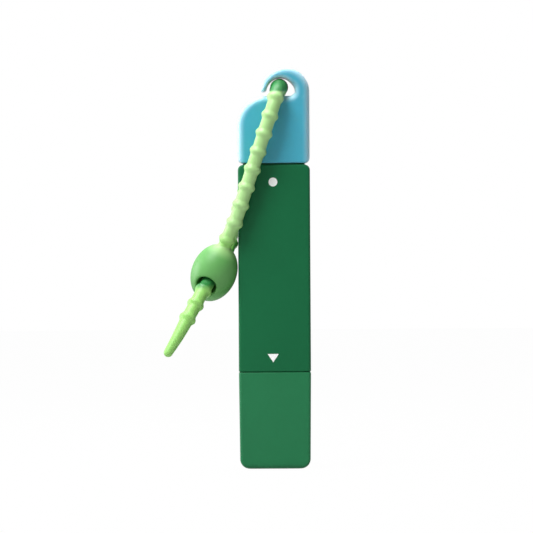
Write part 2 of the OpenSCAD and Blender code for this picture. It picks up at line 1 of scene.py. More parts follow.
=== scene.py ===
# %% [markdown]
# # A stain remover pen
# The pen is a flat green barrel with a fluid tip under a blue cap and a scrubbing brush under a
# green cap. A knobbed silicone strap hangs from the blue cap's hook. The solids come from the
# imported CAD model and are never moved: this lesson gives them their finishes, and makes again, in
# more detail, the pieces that plain solids can't show well. Lengths are written in millimetres, as
# on a drawing, and become Blender's metres with one factor.

# %% Load the CAD model
import json
import math

import bmesh
import bpy
from mathutils import Matrix, Vector


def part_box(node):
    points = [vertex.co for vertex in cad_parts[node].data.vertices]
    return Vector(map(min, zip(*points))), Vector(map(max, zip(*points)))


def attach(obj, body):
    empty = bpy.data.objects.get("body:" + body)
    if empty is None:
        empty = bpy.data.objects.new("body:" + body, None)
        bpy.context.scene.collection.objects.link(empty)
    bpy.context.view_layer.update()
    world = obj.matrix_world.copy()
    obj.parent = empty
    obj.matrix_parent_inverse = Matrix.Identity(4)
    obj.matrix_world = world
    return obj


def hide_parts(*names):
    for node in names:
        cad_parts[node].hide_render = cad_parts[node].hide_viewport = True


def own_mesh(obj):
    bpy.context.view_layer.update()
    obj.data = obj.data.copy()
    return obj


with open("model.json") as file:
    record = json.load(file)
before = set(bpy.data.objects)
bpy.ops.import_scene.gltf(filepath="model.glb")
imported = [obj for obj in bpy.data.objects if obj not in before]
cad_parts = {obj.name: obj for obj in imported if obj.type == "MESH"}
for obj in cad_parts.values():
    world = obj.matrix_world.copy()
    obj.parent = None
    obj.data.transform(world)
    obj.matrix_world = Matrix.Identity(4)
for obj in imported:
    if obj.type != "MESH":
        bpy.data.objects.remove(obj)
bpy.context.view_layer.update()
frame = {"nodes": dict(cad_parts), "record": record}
MM = 0.001
scene = bpy.context.scene

# %% [markdown]
# ## The camera
# A product photograph is taken from far away with a long lens, so that a slim object keeps
# parallel sides. A 300 mm lens stands 1.36 m off, level with the middle of the pen. The small
# roll gives the pen the slight lean that it has in the picture.

# %% Camera
camera_data = bpy.data.cameras.new("camera")
camera_data.lens = 300
camera_data.sensor_width = 36
camera = bpy.data.objects.new("camera", camera_data)
camera.matrix_world = (Matrix.Translation((-0.0024, -1.3597, 0.06167))
                       @ Matrix.Rotation(math.radians(90), 4, "X")
                       @ Matrix.Rotation(math.radians(-0.328), 4, "Z"))
scene.collection.objects.link(camera)
scene.camera = camera
print("camera distance in m:", round(-camera.location.y, 3))

# %% [markdown]
# ## A small language for Geometry Nodes
# Several pieces below follow a rule, and a rule is what a Geometry Nodes tree holds. Wiring
# dozens of Math nodes by hand is slow to read, so a Field stands for one number that the tree
# works out at every point. Adding two fields adds a Math node, and the formula reads as a formula.

# %% Fields: numbers inside a node tree
class Field:
    """A number that a node tree works out at each point. Each operation adds one Math node."""

    def __init__(self, tree, socket):
        self.tree, self.socket = tree, socket

    def math(self, operation, *others):
        node = self.tree.nodes.new("ShaderNodeMath")
        node.operation = operation
        for plug, value in zip(node.inputs, (self, *others)):
            join(self.tree, value, plug)
        return Field(self.tree, node.outputs[0])

    def __add__(self, other):
        return self.math("ADD", other)

    def __sub__(self, other):
        return self.math("SUBTRACT", other)

    def __mul__(self, other):
        return self.math("MULTIPLY", other)

    def __truediv__(self, other):
        return self.math("DIVIDE", other)

    def __neg__(self):
        return self * -1

    def __abs__(self):
        return self.math("ABSOLUTE")

    __radd__, __rmul__ = __add__, __mul__

    def __rsub__(self, other):
        return -self + other

    def least(self, other):
        return self.math("MINIMUM", other)

    def most(self, other):
        return self.math("MAXIMUM", other)

    def root(self):
        return self.math("SQRT")


def join(tree, value, plug):
    """Feeds a node's input: a field or socket is linked, and a plain value is written in."""
    if isinstance(value, Field):
        value = value.socket
    if isinstance(value, bpy.types.NodeSocket):
        tree.links.new(value, plug)
    else:
        plug.default_value = value


print("fields ready")

# %% [markdown]
# A Recipe wraps one tree: its sizes become named inputs of the modifier, so each can be changed
# there by hand, and its last two nodes realize the instances and set the material. Cooking it
# runs the tree once and keeps the result as a plain mesh at the origin.

# %% Recipes: trees with named sizes
class Recipe:
    """A Geometry Nodes tree with one named input for each size."""

    def __init__(self, name, **sizes):
        self.name, self.sizes = name, sizes
        self.tree = bpy.data.node_groups.new(name, "GeometryNodeTree")
        sockets = self.tree.interface
        sockets.new_socket("Geometry", in_out="OUTPUT", socket_type="NodeSocketGeometry")
        sockets.new_socket("Geometry", in_out="INPUT", socket_type="NodeSocketGeometry")
        for size in sizes:
            sockets.new_socket(size, in_out="INPUT", socket_type="NodeSocketFloat")
        self.inputs = self.node("NodeGroupInput").outputs

    def node(self, kind, plugs=(), **settings):
        node = self.tree.nodes.new(kind)
        for key, value in settings.items():
            setattr(node, key, value)
        for key, value in dict(plugs).items():
            join(self.tree, value, node.inputs[key])
        return node

    def __getitem__(self, size):
        return Field(self.tree, self.inputs[size])

    def xyz(self):
        """The three coordinates of each point, in millimetres."""
        place = self.node("GeometryNodeInputPosition").outputs[0]
        parts = self.node("ShaderNodeSeparateXYZ", {0: place}).outputs
        return [Field(self.tree, part) for part in parts]

    def vector(self, x, y, z):
        return self.node("ShaderNodeCombineXYZ", {0: x, 1: y, 2: z}).outputs[0]

    def cook(self, geometry, material, start=None):
        """Ends the tree, runs it on the start mesh and returns the plain object, in metres."""
        small = self.node("GeometryNodeTransform", {"Geometry": geometry, "Scale": (MM, MM, MM)})
        real = self.node("GeometryNodeRealizeInstances", {0: small.outputs[0]})
        done = self.node("GeometryNodeSetMaterial", {0: real.outputs[0], "Material": material})
        self.node("NodeGroupOutput", {0: done.outputs[0]})
        raw = bpy.data.objects.new("raw", start or bpy.data.meshes.new("raw"))
        scene.collection.objects.link(raw)
        modifier = raw.modifiers.new(self.name, "NODES")
        modifier.node_group = self.tree
        for item in self.tree.interface.items_tree:
            if item.in_out == "INPUT" and item.name in self.sizes:
                modifier[item.identifier] = float(self.sizes[item.name])
        depsgraph = bpy.context.evaluated_depsgraph_get()
        mesh = bpy.data.meshes.new_from_object(raw.evaluated_get(depsgraph))
        bpy.data.objects.remove(raw)
        return place(self.name, mesh)


def place(name, mesh, material=None):
    """Puts a finished mesh into the scene at the origin, smooth but for its real edges."""
    piece = bpy.data.objects.new(name, mesh)
    scene.collection.objects.link(piece)
    if material:
        mesh.materials.append(material)
    mesh.shade_smooth()
    mesh.set_sharp_from_angle(angle=math.radians(38))
    print(name, "has", sum(len(face.vertices) - 2 for face in mesh.polygons), "triangles")
    return piece


print("recipes ready")

# %% [markdown]
# ## Moulded finishes
# Injection-moulded plastic is never one flat colour. Its tone drifts a little over a hand's
# width, the mould's texture breaks up its shine, and handling polishes some patches. Three noise
# textures at three scales give that, and all of them read Object coordinates, so the pattern
# stays on the piece when it moves. Numbers that are the same all over go straight on the shader.

# %% A moulded finish
def finish(name, colour, drift=0.06, rough=(0.3, 0.4), grain=900, bump=0.03, **shader):
    """A procedural material: drift is how far the tone wanders, grain how fine its texture is."""
    material = bpy.data.materials.new(name)
    material.use_nodes = True
    tree = material.node_tree
    surface = tree.nodes["Principled BSDF"]
    for key, value in shader.items():
        surface.inputs[key.replace("_", " ")].default_value = value
    place_on = tree.nodes.new("ShaderNodeTexCoord").outputs["Object"]

    def noise(scale, detail):
        node = tree.nodes.new("ShaderNodeTexNoise")
        node.inputs["Scale"].default_value = scale
        node.inputs["Detail"].default_value = detail
        tree.links.new(place_on, node.inputs["Vector"])
        return Field(tree, node.outputs["Fac"])

    def between(field, low, high):
        node = tree.nodes.new("ShaderNodeMapRange")
        for key, value in (("From Min", 0.3), ("From Max", 0.7), ("To Min", low), ("To Max", high)):
            node.inputs[key].default_value = value
        join(tree, field, node.inputs["Value"])
        return Field(tree, node.outputs[0])

    tone = between(noise(45, 2) * 0.7 + noise(grain, 3) * 0.3, 0, 1)
    mix = tree.nodes.new("ShaderNodeMix")
    mix.data_type = "RGBA"
    join(tree, tone, mix.inputs["Factor"])
    for plug, share in (("A", 1 - drift), ("B", 1 + drift)):
        colour_input(mix, plug).default_value = (*[min(c * share, 1) for c in colour], 1)
    join(tree, mix.outputs[2], surface.inputs["Base Color"])
    join(tree, between(noise(120, 3), *rough), surface.inputs["Roughness"])
    bumps = tree.nodes.new("ShaderNodeBump")
    bumps.inputs["Strength"].default_value = bump
    bumps.inputs["Distance"].default_value = 0.0001
    join(tree, noise(grain * 2, 2), bumps.inputs["Height"])
    join(tree, bumps.outputs[0], surface.inputs["Normal"])
    return material


def colour_input(mix, name):
    """The colour input A or B of a Mix node, which also has number and vector inputs of that name."""
    return next(plug for plug in mix.inputs if plug.name == name and plug.type == "RGBA")


STRAP_GREEN = (0.345, 0.605, 0.225)
FINISHES = {
    "barrel_green": finish("barrel_green", (0.005, 0.121, 0.043), rough=(0.36, 0.44),
                           Specular_IOR_Level=0.15),
    "cap_green": finish("cap_green", (0.014, 0.170, 0.064), rough=(0.34, 0.42),
                        Specular_IOR_Level=0.2),
    "cap_blue": finish("cap_blue", (0.052, 0.372, 0.505), rough=(0.30, 0.38),
                       Specular_IOR_Level=0.35, Subsurface_Weight=0.15, Subsurface_Scale=0.0015,
                       Sheen_Weight=0.6, Sheen_Roughness=0.3),
    "white_plastic": finish("white_plastic", (0.80, 0.82, 0.79), drift=0.02),
    "clear_plastic": finish("clear_plastic", (0.62, 0.74, 0.71), drift=0.03,
                            Transmission_Weight=0.35, IOR=1.5),
    "seal_rubber": finish("seal_rubber", (0.20, 0.24, 0.23), rough=(0.6, 0.75), bump=0.08),
    "spring_steel": finish("spring_steel", (0.60, 0.62, 0.64), drift=0.05, rough=(0.2, 0.35),
                           grain=3000, Metallic=1.0),
    "nib_felt": finish("nib_felt", (0.88, 0.86, 0.77), drift=0.08, rough=(0.8, 0.95),
                       grain=2500, bump=0.5, Sheen_Weight=0.4),
    "bristle_nylon": finish("bristle_nylon", (0.90, 0.91, 0.87), drift=0.04, rough=(0.3, 0.4),
                            Subsurface_Weight=0.2, Subsurface_Scale=0.0005),
    "strap_silicone": finish("strap_silicone", STRAP_GREEN, drift=0.05,
                             rough=(0.42, 0.54), Specular_IOR_Level=0.6),
}
print("finishes:", ", ".join(FINISHES))

# %% [markdown]
# The blue cap's plastic is a little milky. Its rims are painted paler than its flat faces: a
# painted highlight, standing in for the light that the rounded rims catch. The cap's own tree will
# mark how near each point is to a rim, in an attribute called edge. Here the finish mixes its
# colour with a paler one by that mark.

# %% Painted highlight on the blue cap's rims
def tint(material, factor, colour):
    """Mixes a finish's colour with another one, by a factor from a node's output."""
    tree = material.node_tree
    plug = tree.nodes["Principled BSDF"].inputs["Base Color"]
    mix = tree.nodes.new("ShaderNodeMix")
    mix.data_type = "RGBA"
    tree.links.new(plug.links[0].from_socket, colour_input(mix, "A"))
    colour_input(mix, "B").default_value = (*colour, 1)
    join(tree, factor, mix.inputs["Factor"])
    join(tree, mix.outputs[2], plug)


blue_nodes = FINISHES["cap_blue"].node_tree.nodes
edge = blue_nodes.new("ShaderNodeAttribute")
edge.attribute_name = "edge"
# Painted highlight: the paler blue below is painted on the cap's rims.
tint(FINISHES["cap_blue"], edge.outputs["Fac"], (0.54, 0.79, 0.89))
print("paler rims ready")

# %% [markdown]
# The strap is a pale green, a little deeper towards its tail. In the eye of the hook and in the
# bead's hole it is painted a deep green: painted shade, standing in for the shadow there. A distance
# along a direction is a dot product, so one helper serves the strap here, and later the bead, whose
# green runs out into the strap's at the neck.

# %% Tones that change along a direction
def fade_along(material, direction, start, end, colour):
    """Tints a finish from the start to the end of a stretch along a direction, in millimetres."""
    tree = material.node_tree
    along = tree.nodes.new("ShaderNodeVectorMath")
    along.operation = "DOT_PRODUCT"
    along.inputs[1].default_value = direction
    spot = next(node for node in tree.nodes if node.type == "TEX_COORD").outputs["Object"]
    tree.links.new(spot, along.inputs[0])
    fade = tree.nodes.new("ShaderNodeMapRange")
    fade.interpolation_type = "SMOOTHSTEP"
    for key, value in (("From Min", start * MM), ("From Max", end * MM)):
        fade.inputs[key].default_value = value
    join(tree, along.outputs["Value"], fade.inputs["Value"])
    tint(material, fade.outputs[0], colour)


# Painted shade: the deep green below is painted on the strap in the eye of the hook and in the bead's
# hole, where shadow falls.
PAINTED_SHADE_GREEN, TAIL_GREEN = (0.022, 0.215, 0.045), (0.250, 0.560, 0.120)
EYE_SHADE_FROM, BEAD_FROM, HOLE_SHADE_FROM, TAIL_FROM = (114.4, 115.4), (75, 66), (65, 62), (56.6, 54.2)
for (start, end), colour in ((BEAD_FROM, TAIL_GREEN), (HOLE_SHADE_FROM, PAINTED_SHADE_GREEN),
                             (TAIL_FROM, TAIL_GREEN)):
    fade_along(FINISHES["strap_silicone"], (0, 0, -1), -start, -end, colour)
fade_along(FINISHES["strap_silicone"], (0, 0, 1), *EYE_SHADE_FROM, PAINTED_SHADE_GREEN)
print("the strap is deepest in tone in the eye and in the bead's hole")

# %% [markdown]
# ## The strap's route
# The strap is one silicone moulding with an egg-shaped bead. From the bead's top it climbs in
# front of the pen, goes back through the eye of the hook, comes down behind the pen, runs forward
# through the bead's hole and hangs free. These points are the CAD model's, and the same rule joins
# them: each point's heading weighs its two neighbours, and a cubic curve runs from one to the next.

# %% Route points, in millimetres
ROUTE = [Vector(point) for point in (
    (-15.3, -6.2, 67.5), (-13.7, -7.5, 71.4), (-11.7, -8.9, 75.8), (-9.6, -9.4, 82),
    (-5.3, -9.8, 95), (-1.3, -10.3, 107), (0.1, -9.8, 111.2), (1, -8.1, 114.6),
    (1.7, -4.5, 116.3), (1.9, 0, 116.5), (1.7, 4.5, 116.3), (1, 8.1, 114.6),
    (0.1, 9.8, 111.2), (-1.3, 10.3, 107), (-5.3, 9.8, 95), (-9.6, 9.4, 82),
    (-11.8, 9.3, 75.8), (-13.1, 8, 71.3), (-14.3, 4, 66.9), (-15, 2.5, 65.6),
    (-21.8, -9.7, 54.2), (-22.6, -11, 52.9), (-24.3, -12.9, 49.7), (-26.4, -15.5, 46),
    (-29.5, -18.1, 40.3), (-32.9, -19.7, 34.7))]
HOLE_START, HOLE_END = ROUTE[19], ROUTE[20]


def heading(i):
    """Unit direction of the strap at one point of its route."""
    if i in (0, len(ROUTE) - 1):
        return (ROUTE[1] - ROUTE[0] if i == 0 else ROUTE[-1] - ROUTE[-2]).normalized()
    before, after = ROUTE[i] - ROUTE[i - 1], ROUTE[i + 1] - ROUTE[i]
    ratio = after.length / before.length
    return (before * ratio + after / ratio).normalized()


def smooth_route(steps=16):
    """Points of the smooth centreline, a few to each stretch of the route."""
    line = []
    for i, (a, b) in enumerate(zip(ROUTE, ROUTE[1:])):
        reach = (b - a).length
        go, come = heading(i) * reach, heading(i + 1) * reach
        for t in (k / steps for k in range(steps)):
            line.append(a * (2 * t**3 - 3 * t * t + 1) + go * (t**3 - 2 * t * t + t)
                        + b * (3 * t * t - 2 * t**3) + come * (t**3 - t * t))
    return line + [ROUTE[-1]]


LINE = smooth_route()
strap_length = sum((b - a).length for a, b in zip(LINE, LINE[1:]))
print("strap length in mm:", round(strap_length, 1))

# %% [markdown]
# ## The bead
# The bead is an egg whose top flows into the strap without a seam, with a slanting hole that the
# strap's other end is threaded through. Soft blends like these are hard to model by pushing
# vertices. Here the egg, the neck and the hole are distances: at each point a field says how far
# the surface is. Blending two distances rounds the place where they meet, a Volume Cube samples
# the result, and Volume to Mesh wraps a skin around it.

# %% Distance tools
def soft_least(a, b, k):
    """The union of two distances, rounded over about k where they meet."""
    near = (k - abs(a - b)).most(0) / k
    return a.least(b) - near * near * (k / 4)


def soft_most(a, b, k):
    """The common part of two distances, with its edge rounded over about k."""
    return -soft_least(-a, -b, k)


def round_most(a, b, r):
    """The common part of two distances, with its edge rounded to the radius r."""
    u, v = (a + r).most(0), (b + r).most(0)
    return (u * u + v * v).root() + a.most(b).least(-1 * r)


def to_line(xyz, start, direction):
    """Distance from a line, and how far along it, for each point."""
    dx, dy, dz = (part - middle for part, middle in zip(xyz, start))
    along = dx * direction.x + dy * direction.y + dz * direction.z
    return (dx * dx + dy * dy + dz * dz - along * along).most(0).root(), along


def skin(recipe, distance, low, high, voxel):
    """Wraps a mesh around the points whose distance is 0."""
    counts = [round((b - a) / voxel) + 1 for a, b in zip(low, high)]
    density = (0.5 - distance).most(0).least(1)
    cube = recipe.node("GeometryNodeVolumeCube", {
        "Density": density, "Min": low, "Max": high, "Resolution X": counts[0],
        "Resolution Y": counts[1], "Resolution Z": counts[2]})
    skin_node = recipe.node("GeometryNodeVolumeToMesh", {0: cube.outputs[0], "Threshold": 0.5})
    return skin_node.outputs[0]


VOXEL = 0.3
print("distance tools ready, with a grid of", VOXEL, "mm")

# %% [markdown]
# The bead is moulded in one with the strap but looks deeper in tone, as it is so much thicker.
# Its green runs out into the strap's green at the neck, over about four millimetres.

# %% The bead's finish
UP = heading(0)
FINISHES["bead_silicone"] = finish("bead_silicone", (0.098, 0.325, 0.076), drift=0.05,
                                   rough=(0.46, 0.56))
neck_at = UP.dot(ROUTE[0])
FADE_BELOW, FADE_ABOVE = 2.6, 1.2
fade_along(FINISHES["bead_silicone"], UP, neck_at - FADE_BELOW, neck_at + FADE_ABOVE, STRAP_GREEN)
print("the bead's colour fades over", FADE_BELOW + FADE_ABOVE, "mm")

# %% Make the bead
BEAD_HALF = 9.2
neck_start = BEAD_HALF * 0.935
bead_middle = ROUTE[0] - UP * neck_start
bead_recipe = Recipe("bead", Width=6.9, Length=BEAD_HALF, Neck=2.07, Hole=3.05)
xyz = bead_recipe.xyz()
off, along = to_line(xyz, bead_middle, UP)
across, lengthways = off / bead_recipe["Width"], along / bead_recipe["Length"]
scaled = (across * across + lengthways * lengthways).root()
steep_off, steep_along = across / bead_recipe["Width"], lengthways / bead_recipe["Length"]
steep = (steep_off * steep_off + steep_along * steep_along).root()
egg = scaled * (scaled - 1) / steep.most(0.0001)
NECK_LENGTH, NECK_FOOT, TAPER_FROM, TAPER = 2.4, 6, 8.6, 0.07
neck_radius = bead_recipe["Neck"] - (along - TAPER_FROM).most(0) * TAPER
neck = (off - neck_radius).most(abs(along - NECK_FOOT) - (neck_start + NECK_LENGTH - NECK_FOOT))
hole_off, _ = to_line(xyz, HOLE_START, (HOLE_END - HOLE_START).normalized())
bead_shape = soft_most(soft_least(egg, neck, 0.8), bead_recipe["Hole"] - hole_off, 0.9)
low = [min(middle - 10.5, middle + way * 12 - 3) for middle, way in zip(bead_middle, UP)]
high = [max(middle + 10.5, middle + way * 12 + 3) for middle, way in zip(bead_middle, UP)]
bead = bead_recipe.cook(skin(bead_recipe, bead_shape, low, high, VOXEL), FINISHES["bead_silicone"])

# %% [markdown]
# ## The strap
# The strap is a round silicone tail with 27 soft knobs, so that the bead can be pulled tight
# between any two of them. A curve along the route does the bending. Along its length one rule sets
# the radius: a smooth bump around each knob's middle, and after the last knob a taper to a rounded
# tip. Curve to Mesh then draws a circle of that radius all along.

# %% Make the strap
def route_mesh():
    """The centreline as a mesh of edges, which the tree turns into a curve."""
    mesh = bpy.data.meshes.new("route")
    mesh.from_pydata(LINE, [(i, i + 1) for i in range(len(LINE) - 1)], [])
    return mesh


strap_recipe = Recipe("strap", Strap=2.05, Knob=2.65, First=2.9, Pitch=5.72, Knobs=27, Half=1.6,
                      Tip=1.3, Total=strap_length)
curve = strap_recipe.node("GeometryNodeMeshToCurve", {0: strap_recipe.inputs["Geometry"]})
even = strap_recipe.node("GeometryNodeResampleCurve", {"Curve": curve.outputs[0], "Count": 700})
way = Field(strap_recipe.tree, strap_recipe.node("GeometryNodeSplineParameter").outputs["Length"])
step = (way - strap_recipe["First"]) / strap_recipe["Pitch"]
which = step.math("ROUND").most(0).least(strap_recipe["Knobs"] - 1)
beside = abs(step - which) * strap_recipe["Pitch"]
bump = (1 - beside / strap_recipe["Half"]).most(0).least(1)
bump = bump * bump * (3 - 2 * bump)
last = strap_recipe["First"] + (strap_recipe["Knobs"] - 1) * strap_recipe["Pitch"]
tail = ((way - last) / (strap_recipe["Total"] - last)).most(0).least(1).math("POWER", 1.3)
plain = strap_recipe["Strap"] - (strap_recipe["Strap"] - strap_recipe["Tip"]) * tail
left = ((strap_recipe["Total"] - way) / strap_recipe["Tip"]).most(0.02).least(1)
dome = (1 - (1 - left) * (1 - left)).root()
radius = (plain + (strap_recipe["Knob"] - strap_recipe["Strap"]) * bump) * dome
circle = strap_recipe.node("GeometryNodeCurvePrimitiveCircle", {"Resolution": 20, "Radius": 1.0})
tube = strap_recipe.node("GeometryNodeCurveToMesh", {
    "Curve": even.outputs[0], "Profile Curve": circle.outputs[0], "Scale": radius,
    "Fill Caps": True})
strap = strap_recipe.cook(tube.outputs[0], FINISHES["strap_silicone"], route_mesh())

for piece, node in ((strap, "strap_cord"), (bead, "strap_bead")):
    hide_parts(node)
    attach(piece, "strap")
([point * MM for point in LINE[::2]] +
        [LINE[-1] * MM])
print("strap box in mm:", [[round(v / MM, 1) for v in corner] for corner in
                           (strap.bound_box[0], strap.bound_box[6])])

# %% [markdown]
# ## Walls that are rounded boxes
# The barrel and the brush cap are drawn from flat plates of the mould: at every height their
# outline is a rectangle with rounded corners, and only its size changes. So each is a loft, a
# stack of such outlines, up the outside and down the inside. Fine steps near the ends make the
# small soft edges that catch the light beside a seam.

# %% A loft of rounded rectangles
def outline(half_w, half_d, corner, level, steps=6):
    """Points of one rounded rectangle, counter-clockwise seen from above."""
    corner = min(corner, half_w - 0.01, half_d - 0.01)
    points = []
    for i, (sx, sy) in enumerate(((1, -1), (1, 1), (-1, 1), (-1, -1))):
        for k in range(steps + 1):
            turn = math.radians(-90 + 90 * i + 90 * k / steps)
            points.append(((half_w - corner) * sx + corner * math.cos(turn),
                           (half_d - corner) * sy + corner * math.sin(turn), level))
    return points


def loft(name, rings, material):
    """A closed shell from a stack of outlines. It runs up the outside and down the inside."""
    mesh = bmesh.new()
    rows = [[mesh.verts.new(Vector(point) * MM) for point in outline(*ring)] for ring in rings]
    for low_row, high_row in zip(rows, rows[1:] + rows[:1]):
        for i, corner in enumerate(low_row):
            after = (i + 1) % len(low_row)
            mesh.faces.new((corner, low_row[after], high_row[after], high_row[i]))
    mesh.normal_update()
    data = bpy.data.meshes.new(name)
    mesh.to_mesh(data)
    mesh.free()
    return place(name, data, material)


def rounded_end(half_w, half_d, corner, level, side, front, way, steps=8):
    """Outlines that round off an end: by side as seen from the front, by front as seen from the
    side. way is 1 for an upper end and -1 for a lower one; they run from the wall to the end."""
    rings = []
    for k in range(steps + 1):
        turn = math.radians(90 * k / steps)
        back = side * (1 - math.sin(turn))
        near = max(1 - back / front, 0) if front else 1
        rings.append((half_w - side * (1 - math.cos(turn)),
                      half_d - front * (1 - math.sqrt(1 - near * near)), corner,
                      level - way * back))
    return rings


# %% Make the barrel
EDGE = 0.9
HALF_W, HALF_D, BORE_W, BORE_D = 11, 6.5, 9.6, 5.1
BARREL_LOW, BARREL_TOP = 29.6, 92.7
barrel_rings = (rounded_end(HALF_W, HALF_D, EDGE, BARREL_LOW, 0.35, 0.3, -1)[::-1]
                + rounded_end(HALF_W, HALF_D, EDGE, BARREL_TOP, 1.7, 0.3, 1)
                + [(BORE_W, BORE_D, 0.4, BARREL_TOP), (BORE_W, BORE_D, 0.4, BARREL_LOW)])
barrel = loft("barrel_shell", barrel_rings, FINISHES["barrel_green"])
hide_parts("barrel")
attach(barrel, "pen")

# %% [markdown]
# ## The brush cap
# The green cap slides up over the brush and meets the barrel at a thin seam. It is a shallow box
# with a floor, it tapers a little towards the foot so that it leaves its mould, and its foot's
# corners are rounded far more than the rest.

# %% Make the brush cap
CAP_TOP, CAP_FLOOR = 29.4, 1.6
foot = rounded_end(HALF_W - 0.25, HALF_D - 0.125, EDGE, 0, 3, 1.2, -1, 14)[::-1]
cap_rings = (foot + rounded_end(HALF_W, HALF_D, EDGE, CAP_TOP, 0.35, 0.3, 1)
             + [(BORE_W, BORE_D, 0.4, CAP_TOP), (BORE_W, BORE_D, 0.4, CAP_FLOOR)])


def cap_shell(name, rings, material):
    """The loft with its inside and its foot closed by two flat faces instead of a through hole."""
    piece = loft(name, rings, material)
    mesh = bmesh.new()
    mesh.from_mesh(piece.data)
    count = len(outline(1, 1, 0.1, 0))
    mesh.verts.ensure_lookup_table()
    first, last = list(mesh.verts)[:count], list(mesh.verts)[-count:]
    joined = set(first) | set(last)
    through = [f for f in mesh.faces if all(v in joined for v in f.verts)
               and any(v in set(first) for v in f.verts) and any(v in set(last) for v in f.verts)]
    bmesh.ops.delete(mesh, geom=through, context="FACES_ONLY")
    mesh.faces.new(first[::-1])
    mesh.faces.new(last)
    mesh.to_mesh(piece.data)
    mesh.free()
    piece.data.set_sharp_from_angle(angle=math.radians(38))
    return piece


brush_cap = cap_shell("brush_cap_shell", cap_rings, FINISHES["cap_green"])
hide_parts("brush_cap")
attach(brush_cap, "brush_cap")

# %% [markdown]
# ## The blue cap
# The blue cap looks pinched from one soft block: a wide shoulder on the left, a hook on the right
# that curls over a round eye, and a slit where the hook's tip stops short of the shoulder. All its
# outer rims are rounded like a bar of soap, while the cavity inside is crisp. It is made as
# distances again: the front outline first, then its thickness, rounded where the two meet.

# %% Outline of the blue cap, seen from the front
cap = Recipe("remover_cap_shell", Shoulder=9.15, Hook=7.4, Eye=4.25, Rim=1.9, Bore=4.75)
x, y, z = cap.xyz()
SHOULDER_Z, HOOK_X, HOOK_Z, EYE_X, EYE_Z, SEAM_Z = 113.7, 3.6, 114.9, 2.1, 115.1, 93.2


def rectangle(u, v, low_u, high_u, low_v, high_v, corner=0):
    """Distance from a rectangle in the plane, with rounded corners if asked."""
    du = abs(u - (low_u + high_u) / 2) - (high_u - low_u) / 2 + corner
    dv = abs(v - (low_v + high_v) / 2) - (high_v - low_v) / 2 + corner
    out_u, out_v = du.most(0), dv.most(0)
    return (out_u * out_u + out_v * out_v).root() + du.most(dv).least(0) - corner


def disc(u, v, middle_u, middle_v, r):
    du, dv = u - middle_u, v - middle_v
    return (du * du + dv * dv).root() - r


block = rectangle(x, z, -HALF_W, HALF_W, 70, SHOULDER_Z, cap["Shoulder"])
column = rectangle(x, z, HOOK_X, HALF_W, 80, HOOK_Z)
hook = disc(x, z, HOOK_X, HOOK_Z, cap["Hook"])
slit = rectangle(x, z, -30, EYE_X, SHOULDER_Z, 115.1)
corner_of_eye = rectangle(x, z, 0, 6.25, SHOULDER_Z, 117, 1.3)
front = block.least(column.least(hook).most(-slit.least(corner_of_eye)))
print("outline of the blue cap done")

# %% Thickness, eye, seam and cavity of the blue cap
solid = round_most(front, abs(y) - HALF_D, cap["Rim"])
arch = disc(x, z, EYE_X, EYE_Z, cap["Eye"]).most(SHOULDER_Z + 1.2 - z)
solid = round_most(solid, -arch, 0.9)
foot_edge = rectangle(x, z, -HALF_W - 0.3, HALF_W + 0.3, SEAM_Z, 150, 2.2)
solid = round_most(solid, foot_edge, 0.35)
bore = rectangle(x, y, -BORE_W, BORE_W, -BORE_D, BORE_D, 0.4).most(z - 99)
liner_bore = disc(x, y, 0, 0, cap["Bore"]).most(z - 108.6)
solid = solid.most(-bore.least(liner_bore))
cap_skin = skin(cap, solid, (-12, -7.5, 92), (12, 7.5, 123.4), VOXEL)
# Painted highlight: this mark is largest near the rims and on the front and back faces, and paints
# them paler.
painted_rim_highlight = (1 + front.most(-1.8 * arch) / 2.6).most(0).least(1)
near_face = (abs(y) / 6).most(0.25).least(1)
marked = cap.node("GeometryNodeStoreNamedAttribute", {
    "Geometry": cap_skin, "Name": "edge", "Value": painted_rim_highlight * painted_rim_highlight * near_face},
    data_type="FLOAT")
blue_cap = cap.cook(marked.outputs[0], FINISHES["cap_blue"])
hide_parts("remover_cap")
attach(blue_cap, "remover_cap")

# %% [markdown]
# ## The brush
# Each tuft of a moulded brush is a bundle of nylon strands stapled into one hole, and the strands
# fan out a little towards their tips. That is a rule twice over: a grid places the tufts, and
# inside a tuft each next strand turns by the golden angle and moves outwards, as seeds do in a
# sunflower. A strand leans the way that it stands off the tuft's middle.

# %% Make the bristles
low, high = (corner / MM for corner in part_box("bristles"))
SLAB = 0.6
ROOT, TIP = high.z - SLAB, low.z
STRANDS, GOLDEN_ANGLE, WOBBLE = 34, 137.508, 0.014
brush = Recipe("bristles_tufts", Spread=0.62, Lean=0.05)
grid = brush.node("GeometryNodeMeshGrid", {
    "Size X": 12.6, "Size Y": 3.5, "Vertices X": 12, "Vertices Y": 3})
spots = brush.node("GeometryNodeMeshToPoints", {0: grid.outputs[0]})
many = brush.node("GeometryNodeDuplicateElements", {0: spots.outputs[0], "Amount": STRANDS},
                  domain="POINT")
number = Field(brush.tree, many.outputs["Duplicate Index"])
turn = number * math.radians(GOLDEN_ANGLE)
reach = ((number + 0.5) / STRANDS).root()
out_x, out_y = turn.math("COSINE") * reach, turn.math("SINE") * reach
spread = brush["Spread"]
spot = brush.vector(out_x * spread, out_y * spread, ROOT)
moved = brush.node("GeometryNodeSetPosition", {0: many.outputs[0], "Offset": spot})
chance = brush.node("FunctionNodeRandomValue", data_type="FLOAT_VECTOR")
for plug in chance.inputs:
    if plug.type == "VECTOR":
        plug.default_value = (-WOBBLE if plug.name == "Min" else WOBBLE,) * 3
    elif plug.name == "Seed":
        plug.default_value = 7
wobble = brush.node("ShaderNodeSeparateXYZ", {0: chance.outputs[0]}).outputs
lean_x = out_y * brush["Lean"] + Field(brush.tree, wobble[0])
lean_y = -(out_x * brush["Lean"]) + Field(brush.tree, wobble[1])
strand_length = ROOT - TIP - 0.1
